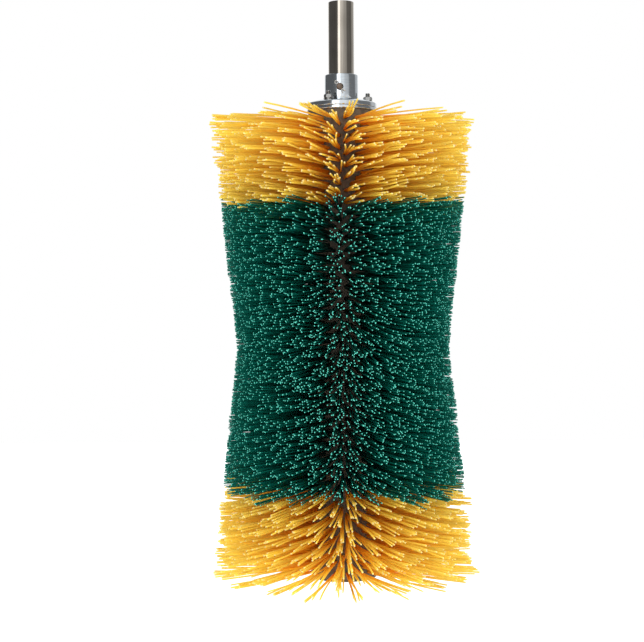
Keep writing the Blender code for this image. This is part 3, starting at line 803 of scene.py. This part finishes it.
def make_nut():
    """A hexagon whose corners are turned off by a chamfered disc, bored for the rod."""
    corner = NUT_FLATS / 2 / math.cos(math.pi / 6)
    nut = bar("nut", corner, 0.0, NUT_HEIGHT, 6)
    done(nut, None)
    disc_radius = 1.01 * corner
    disc = bar("disc", disc_radius, 0.0, NUT_HEIGHT, WASHER_SIDES)
    bevel_rims(disc, (disc_radius,), NUT_CORNER_CHAMFER, segments=1)
    done(disc, None)
    cut(nut, disc, "INTERSECT")
    drill(nut, ROD_RADIUS + NUT_GAP, 0.0, NUT_HEIGHT, PIN_SIDES)
    return done(nut, 15.0)


def make_fasteners():
    """One nut and one washer at the origin, copied to the rods' two ends."""
    nut = make_nut()
    washer = done(ring("washer", WASHER_RADIUS, ROD_RADIUS + BOLT_GAP, 0.0, WASHER_THICKNESS,
                       WASHER_SIDES, bevel=0.25 * MM))
    for end in ("top", "bottom"):
        for number in ROD_NUMBERS:
            x, y = rod_place(number)
            turn = math.atan2(y, x) + math.pi / 6
            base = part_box(f"{end}_nut_{number}")[0].z
            twin = copy_to(nut, f"hex_nut_{end}_{number}", (x, y, base), turn)
            finish_piece(twin, "fastener", "brush", "zinc_plate", f"{end}_nut_{number}")
            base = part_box(f"{end}_washer_{number}")[0].z
            twin = copy_to(washer, f"flat_washer_{end}_{number}", (x, y, base))
            finish_piece(twin, "fastener", "brush", "zinc_plate", f"{end}_washer_{number}")
    bpy.data.objects.remove(nut)
    bpy.data.objects.remove(washer)


# Core with its drilled holes

def hole_cell():
    """One flat cell, a unit wide and high, with an eight-sided blind hole, a unit deep."""
    bpy.ops.mesh.primitive_plane_add(size=1.0, location=(0, 0, 0))
    cell = named("hole_cell")
    bpy.ops.object.mode_set(mode="EDIT")
    bpy.ops.mesh.select_all(action="SELECT")
    bpy.ops.mesh.subdivide(number_cuts=1)
    edit_select(cell, lambda place: place.length < CELL_HOLE, "VERTEX")
    bpy.ops.mesh.delete(type="VERT")
    bpy.ops.mesh.primitive_circle_add(vertices=8, radius=CELL_HOLE, location=(0, 0, 0))
    bpy.ops.mesh.select_all(action="SELECT")
    bpy.ops.mesh.bridge_edge_loops()
    edit_select(cell, lambda a, b: max(a.length, b.length) < 1.1 * CELL_HOLE, "EDGE")
    bpy.ops.mesh.extrude_region_move(TRANSFORM_OT_translate={"value": (0, 0, -1.0)})
    bpy.ops.mesh.edge_face_add()
    bpy.ops.mesh.select_all(action="SELECT")
    bpy.ops.mesh.normals_make_consistent(inside=False)
    bpy.ops.object.mode_set(mode="OBJECT")
    return cell


def cell_on_core(flat, column, centre):
    """Wrap the flat cell onto the core: a hole in the given column, centred at a height.
    The square's side becomes the column's width, and the hole stays round."""
    rim = np.abs(flat[:, :2]).max(1) > 0.9 * CELL_HALF
    wide = flat[:, 0] * np.where(rim, COLUMN_ANGLE * CORE_RADIUS, HOLE_RADIUS / CELL_HOLE)
    high = flat[:, 1] * np.where(rim, HOLE_PITCH, HOLE_RADIUS / CELL_HOLE)
    angle = column_angle(column) + wide / CORE_RADIUS
    radius = CORE_RADIUS + flat[:, 2] * HOLE_DEPTH
    return np.stack((radius * np.cos(angle), radius * np.sin(angle), centre + high), 1)


def column_angle(column, share=0.5):
    """Where a column lies round the drum, from the front: at its middle, or at a share."""
    return (column + share) * COLUMN_ANGLE - math.pi / 2


def half_row_height(row):
    return CORE_TOP - FIRST_HALF_ROW - row * HALF_ROW


def make_core():
    """The drilled skin is copies of one cell, with plain strips over and under them. Its end
    loops are drawn in to the bore, and there the two open ends are bridged."""
    cell = hole_cell()
    flat = np.array([v.co for v in cell.data.vertices])
    cell_faces = [tuple(face.vertices) for face in cell.data.polygons]
    bpy.data.objects.remove(cell)
    points, faces = [], []

    def add(new_points, new_faces):
        start = len(points)
        points.extend(new_points)
        faces.extend([tuple(start + i for i in face) for face in new_faces])

    for column in range(COLUMNS):
        rows = range(column % 2, HALF_ROWS, 2)
        for row in rows:
            add(cell_on_core(flat, column, half_row_height(row)), cell_faces)
        angles = [column_angle(column, share) for share in (0.0, 0.5, 1.0)]
        upper = [CORE_TOP] + [half_row_height(row) for row in range(-1, rows[0])]
        lower = [half_row_height(row) for row in range(rows[-1] + 1, HALF_ROWS + 1)]
        lower.append(CORE_BOTTOM)
        for heights in (upper, lower):
            grid = [(CORE_RADIUS * math.cos(a), CORE_RADIUS * math.sin(a), h)
                    for h in heights for a in angles]
            quads = [(3 * r + c + 3, 3 * r + c + 4, 3 * r + c + 1, 3 * r + c)
                     for r in range(len(heights) - 1) for c in (0, 1)]
            add(grid, quads)
    mesh = bpy.data.meshes.new("drilled_core")
    mesh.from_pydata([tuple(point) for point in points], [], faces)
    piece = add_object("drilled_core", mesh)
    pick(piece)
    bpy.ops.object.mode_set(mode="EDIT")
    bpy.ops.mesh.select_all(action="SELECT")
    bpy.ops.mesh.remove_doubles(threshold=CLOSE / 2)
    bore = CORE_RADIUS - CORE_WALL
    recess = CORE_RADIUS - CORE_RECESS_WALL
    shoulder = END_PLATE_TOP + SEAT_GAP - CORE_BOTTOM
    draw_in(piece, CORE_TOP, [(0.0, bore), (-BORE_DRAWN_DOWN, bore)])
    draw_in(piece, CORE_BOTTOM, [(0.0, recess), (shoulder, recess), (shoulder, bore)])

    def open_in_bore(a, b):
        level = abs(a.z - b.z) < LEVEL
        inside = CORE_BOTTOM + CLOSE < a.z < CORE_TOP - CLOSE
        return level and inside and max(a.xy.length, b.xy.length) < bore + CLOSE

    edit_select(piece, open_in_bore, "EDGE")
    bpy.ops.mesh.bridge_edge_loops()
    done(piece)
    finish_piece(piece, "core", "brush", "core_plastic", "core_tube")


def draw_in(piece, height, steps):
    """Extrude the open loop at a height, each step to a climb from there and a radius."""
    edit_select(piece, lambda a, b: max(abs(a.z - height), abs(b.z - height)) < LEVEL, "EDGE")
    radius, level = CORE_RADIUS, 0.0
    for climb, target in steps:
        bpy.ops.mesh.extrude_region_move(
            TRANSFORM_OT_translate={"value": (0, 0, climb - level)})
        share = target / radius
        bpy.ops.transform.resize(value=(share, share, 1.0), center_override=(0, 0, 0))
        radius, level = target, climb


# Bristles

def one_bristle(sides, cuts):
    """A unit strand along Z from 0 to 1, cut into lengths, its cut end a little raised."""
    bpy.ops.mesh.primitive_cylinder_add(vertices=sides, radius=1.0, depth=1.0,
                                        location=(0, 0, 0.5))
    strand = done(named("strand"), None)
    edit_select(strand, lambda a, b: abs(a.z - b.z) > 0.5, "EDGE")
    bpy.ops.mesh.subdivide(number_cuts=cuts)
    edit_select(strand, looks_up)
    bpy.ops.mesh.inset(thickness=CUT_INSET)
    bpy.ops.transform.translate(value=(0, 0, CUT_RISE))
    bpy.ops.object.mode_set(mode="OBJECT")
    points = np.array([v.co for v in strand.data.vertices])
    faces = [tuple(face.vertices) for face in strand.data.polygons]
    bpy.data.objects.remove(strand)
    return points, faces


def tip_radius(height):
    share = np.abs(height - WAIST) / (CORE_TOP - WAIST)
    return WAIST_TIP_RADIUS + share * (END_TIP_RADIUS - WAIST_TIP_RADIUS)


def smooth_field(angle, height, rng):
    """A gentle random field over the drum, about -1 to 1, periodic round it."""
    total = np.zeros_like(angle)
    for _ in range(FIELD_WAVES):
        turns = rng.integers(-5, 6)
        rise = rng.normal(0.0, 1.0) * math.tau / FIELD_LENGTH
        total += np.sin(turns * angle + rise * height + rng.uniform(0, math.tau))
    return total / math.sqrt(FIELD_WAVES)


def photo_lean(angle, height):
    """The rise of the tips that the photo shows, blended from a few soft spots."""
    turn = (np.degrees(angle) + 90.0 + 180.0) % 360.0 - 180.0
    depth = (CORE_TOP - height) / MM
    rise = np.zeros_like(angle)
    for spot_turn, spot_depth, wide, high, amount in LEANS:
        away = ((turn - spot_turn) / wide) ** 2 + ((depth - spot_depth) / high) ** 2
        rise += amount * MM * np.exp(-away)
    return rise


def strand_leans(rows, kind, angle, height, rng):
    """For all strands of tufts at the given angles and heights: the number of their tuft,
    their place in its hole, how far their tips move sideways and up, and how far the whole
    tuft reaches out. Each tuft fans out, and neighbouring tufts lean alike."""
    tufts, wander = angle.size, kind["tuft_wander"]
    lean_rng = np.random.default_rng(SEED)
    lean_side = LEAN_SIDE * smooth_field(angle, height, lean_rng)
    lean_up = LEAN_UP * smooth_field(angle, height, lean_rng)
    lean_side += rng.normal(0, wander, tufts)
    lean_up += rng.normal(0, wander, tufts) + photo_lean(angle, height)
    tuft_reach = rng.normal(0, TUFT_UNEVEN_SHARE * kind["uneven"], tufts)
    count = kind["count"]
    tuft = np.repeat(np.arange(tufts), count)
    n = tuft.size
    out = rng.uniform(0, 1, n) ** 0.5
    about = rng.uniform(0, math.tau, n)
    across, along = out * np.cos(about), out * np.sin(about)
    room = HOLE_RADIUS - kind["radius"]
    side = lean_side[tuft] + across * kind["fan"][0] + rng.normal(0, kind["noise"][0], n)
    up = lean_up[tuft] + along * kind["fan"][1] + rng.normal(0, kind["noise"][1], n)
    astray = rng.random(n) < STRAY_SHARE
    side[astray] += rng.normal(0, STRAY, astray.sum())
    up[astray] += rng.normal(0, STRAY, astray.sum())
    if rows[0] == 0:
        for number, loose, rise, aside in LOOSE:
            which = slice(number * count, number * count + loose)
            up[which] += rise * MM
            side[which] += aside * MM
    return tuft, across * room, along * room, side, up, tuft_reach[tuft]


def bent_copies(unit, rows, kind, rng):
    """The points of all strands in the given half-rows: bent copies of the unit strand,
    which leave their hole square to the core."""
    places = [(column_angle(column), half_row_height(row))
              for row in rows for column in range(row % 2, COLUMNS, 2)]
    tuft_angle, tuft_height = np.array(places).T
    tuft, root_side, root_up, side, up, tuft_reach = strand_leans(
        rows, kind, tuft_angle, tuft_height, rng)
    angle, height = tuft_angle[tuft], tuft_height[tuft]
    n = tuft.size
    outward = np.stack((np.cos(angle), np.sin(angle), np.zeros(n)), 1)
    sideways = np.stack((-np.sin(angle), np.cos(angle), np.zeros(n)), 1)
    upward = np.array((0.0, 0.0, 1.0))
    root = (outward * ROOT_RADIUS + sideways * root_side[:, None]
            + upward * (height + root_up)[:, None])
    tip = tip_radius(height + up) + tuft_reach - np.abs(rng.normal(0, kind["uneven"], n))
    reach = np.sqrt(tip ** 2 - side ** 2) - ROOT_RADIUS
    bow = rng.normal(0, BOW, (n, 2))
    t = unit[:, 2][None, :]
    curve = 0.7 * t + 0.3 * t ** 2
    belly = 4.0 * t * (1.0 - t)
    sag_side = side[:, None] * curve + bow[:, :1] * belly
    sag_up = up[:, None] * curve + bow[:, 1:] * belly
    thick = kind["radius"] * rng.uniform(*THICKNESS_RANGE, n)[:, None]
    spin = rng.uniform(0, math.tau, n)[:, None]
    x = (unit[:, 0] * np.cos(spin) - unit[:, 1] * np.sin(spin)) * thick
    y = (unit[:, 0] * np.sin(spin) + unit[:, 1] * np.cos(spin)) * thick
    deep = reach[:, None] * t - x * (side / reach)[:, None] - y * (up / reach)[:, None]
    return (root[:, None, :] + outward[:, None, :] * deep[..., None]
            + sideways[:, None, :] * (sag_side + x)[..., None]
            + upward * (sag_up + y)[..., None])


def strand_mesh(name, points, faces):
    """One mesh of many strands, given as points by strand, that share one set of faces."""
    n, per = points.shape[:2]
    corners = np.concatenate([np.array(face) for face in faces])
    corners = (corners + per * np.arange(n)[:, None]).ravel()
    sizes = np.tile([len(face) for face in faces], n)
    mesh = bpy.data.meshes.new(name)
    mesh.vertices.add(n * per)
    mesh.vertices.foreach_set("co", points.reshape(-1).astype(np.float32))
    mesh.loops.add(corners.size)
    mesh.loops.foreach_set("vertex_index", corners.astype(np.int32))
    mesh.polygons.add(sizes.size)
    mesh.polygons.foreach_set("loop_start", (np.cumsum(sizes) - sizes).astype(np.int32))
    mesh.update(calc_edges=True)
    return mesh


def add_attribute(mesh, name, values):
    attribute = mesh.attributes.new(name, "FLOAT", "POINT")
    attribute.data.foreach_set("value", values.astype(np.float32))


def grow(name, rows, node_name, kind, rng):
    """A band of strands in one mesh, with the attributes that its material reads."""
    unit, faces = one_bristle(kind["sides"], kind["cuts"])
    points = bent_copies(unit, rows, kind, rng)
    n, per = points.shape[:2]
    mesh = strand_mesh(name, points, faces)
    on_cut_end = unit[:, 2] > 1.0 + CUT_RISE / 2
    add_attribute(mesh, "along", np.tile(np.where(on_cut_end, CUT_READING, unit[:, 2]), n))
    add_attribute(mesh, "tone", np.repeat(rng.random(n), per))
    piece = add_object(name, mesh)
    pick(piece)
    bpy.ops.object.shade_smooth_by_angle(angle=math.radians(50.0))
    finish_piece(piece, kind["material"], "brush", kind["slot"], node_name)


def make_bristles():
    """Yellow, four bands of green, two for each green node, and yellow again."""
    rng = np.random.default_rng(SEED + 1)
    green_end = UPPER_YELLOW_ROWS + GREEN_ROWS
    grow("yellow_bristles_top", range(UPPER_YELLOW_ROWS), "upper_yellow_tufts", YELLOW, rng)
    grow("yellow_bristles_bottom", range(green_end, HALF_ROWS), "lower_yellow_tufts", YELLOW, rng)
    quarters = np.linspace(UPPER_YELLOW_ROWS, green_end, 5).round().astype(int)
    for i in range(4):
        node_name = "upper_green_tufts" if i < 2 else "lower_green_tufts"
        grow(f"green_bristles_{i + 1}", range(quarters[i], quarters[i + 1]), node_name, GREEN, rng)


# Stage, light and camera

def make_stage():
    """A pale floor well under the hanging brush, which the camera sees as white."""
    bpy.ops.mesh.primitive_plane_add(size=FLOOR_SIZE, location=(0, 0, FLOOR_HEIGHT))
    floor = named("floor")
    material, tree, shader = new_material("white studio floor", Roughness=0.9)
    shader.inputs["Base Color"].default_value = grey(0.8)
    shader.inputs["Emission Color"].default_value = grey(1.0)
    path = node(tree, "ShaderNodeLightPath")
    clear = node(tree, "ShaderNodeMath", {"operation": "MAXIMUM"},
                 i0=path.outputs["Is Camera Ray"], i1=path.outputs["Is Transmission Ray"])
    seen = node(tree, "ShaderNodeMath", {"operation": "MULTIPLY"}, i0=clear.outputs["Value"],
                i1=FLOOR_GLOW)
    glow = node(tree, "ShaderNodeMath", {"operation": "MULTIPLY_ADD"},
                i0=path.outputs["Is Glossy Ray"], i1=FLOOR_GLOW_IN_METAL,
                i2=seen.outputs["Value"])
    tree.links.new(glow.outputs["Value"], shader.inputs["Emission Strength"])
    floor.data.materials.append(material)


def mix_colours(tree, factor, first, second):
    """A Mix node on colours, whose colour sockets are its inputs 6 and 7 and its output 2."""
    return node(tree, "ShaderNodeMix", {"data_type": "RGBA"}, Factor=factor, i6=first,
                i7=second).outputs[2]


def make_world():
    """White to the camera, an even grey to the bristles, and the room above to metal."""
    world = bpy.data.worlds.new("studio")
    bpy.context.scene.world = world
    world.use_nodes = True
    tree = world.node_tree
    background = tree.nodes["Background"]
    path = node(tree, "ShaderNodeLightPath")
    camera = node(tree, "ShaderNodeMath", {"operation": "MAXIMUM"},
                  i0=path.outputs["Is Camera Ray"], i1=path.outputs["Is Transmission Ray"])
    direction = node(tree, "ShaderNodeTexCoord").outputs["Generated"]
    parts = node(tree, "ShaderNodeSeparateXYZ", Vector=direction)
    ahead = node(tree, "ShaderNodeMath", {"operation": "MULTIPLY"}, i0=parts.outputs["Y"],
                 i1=-1.0)
    turn = node(tree, "ShaderNodeMath", {"operation": "ARCTAN2"}, i0=parts.outputs["X"],
                i1=ahead.outputs["Value"])
    around = node(tree, "ShaderNodeMapRange", Value=turn.outputs["Value"], From_Min=-math.pi,
                  From_Max=math.pi)
    room = ramp(tree, around.outputs["Result"],
                [((angle + 180) / 360, grey(level / ROOM_PEAK)) for angle, level in ROOM])
    metal = node(tree, "ShaderNodeVectorMath", {"operation": "SCALE"}, i0=room,
                 Scale=ROOM_PEAK)
    lit = mix_colours(tree, path.outputs["Is Glossy Ray"], grey(WORLD_LEVEL),
                      metal.outputs["Vector"])
    seen = mix_colours(tree, camera.outputs["Value"], lit, grey(1.0))
    tree.links.new(seen, background.inputs["Color"])


def make_lights():
    """Large softboxes to the left, to the right, behind the camera and above. Metal sees
    the world's screen and not them."""
    for name, (place, size, watts) in LAMPS.items():
        light = bpy.data.lights.new(name, "AREA")
        light.shape = "RECTANGLE"
        light.size, light.size_y = size
        light.energy = watts
        lamp = add_object(name, light)
        lamp.location = place
        aim = Vector(LAMP_AIM) - Vector(place)
        lamp.rotation_euler = aim.to_track_quat("-Z", "Y").to_euler()
        lamp.visible_glossy = False


def make_camera():
    """Looks along +Y from the photograph's eye height, tipped down a little."""
    camera = bpy.data.cameras.new("photo_camera")
    camera.sensor_width = SENSOR_MM
    camera.lens = SENSOR_MM * FOCAL_PIXELS / FRAME_WIDTH
    camera.clip_start = 0.05
    camera.clip_end = 60.0
    eye = add_object("photo_camera", camera)
    bpy.context.scene.camera = eye
    down = math.atan((FRAME_HEIGHT / 2 - EYE_PIXEL_Y) / FOCAL_PIXELS)
    left = (AXIS_PIXEL_X - FRAME_WIDTH / 2) * PIXEL_SIZE
    eye.location = (-left, -CAMERA_DISTANCE, SHAFT_TOP - EYE_DROP)
    eye.rotation_euler = (math.pi / 2 - down, CAMERA_ROLL, 0.0)


deselect()
MATERIALS = make_materials()
make_camera()
make_shaft()
make_collar("zinc_collar_top", COLLAR_BOTTOM, COLLAR_TOP, PIN_RADIUS, PIN_HEIGHT, "top_collar")
make_collar("zinc_collar_bottom", LOWER_COLLAR_BOTTOM, LOWER_COLLAR_TOP, SPRING_PIN_RADIUS,
            LOWER_PIN_HEIGHT, "bottom_collar")
make_cross_pin()
make_split_pin()
make_spring_pin()
make_thrust_washer()
make_flange()
make_end_plate("upper_drum_plate", TOP_PLATE_RADIUS, TOP_PLATE_BOTTOM, TOP_PLATE_TOP,
               "top_end_plate")
make_end_plate("lower_drum_plate", END_PLATE_RADIUS, END_PLATE_BOTTOM, END_PLATE_TOP,
               "bottom_end_plate")
make_bush("nylon_bush_top", TOP_BUSH_BOTTOM, TOP_BUSH_TOP, True, "top_bush")
make_bush("nylon_bush_bottom", BOTTOM_BUSH_BOTTOM, BOTTOM_BUSH_TOP, False, "bottom_bush")
make_rods()
make_fasteners()
make_core()
make_bristles()
make_stage()
make_world()
make_lights()
bpy.context.scene.view_settings.view_transform = "Standard"
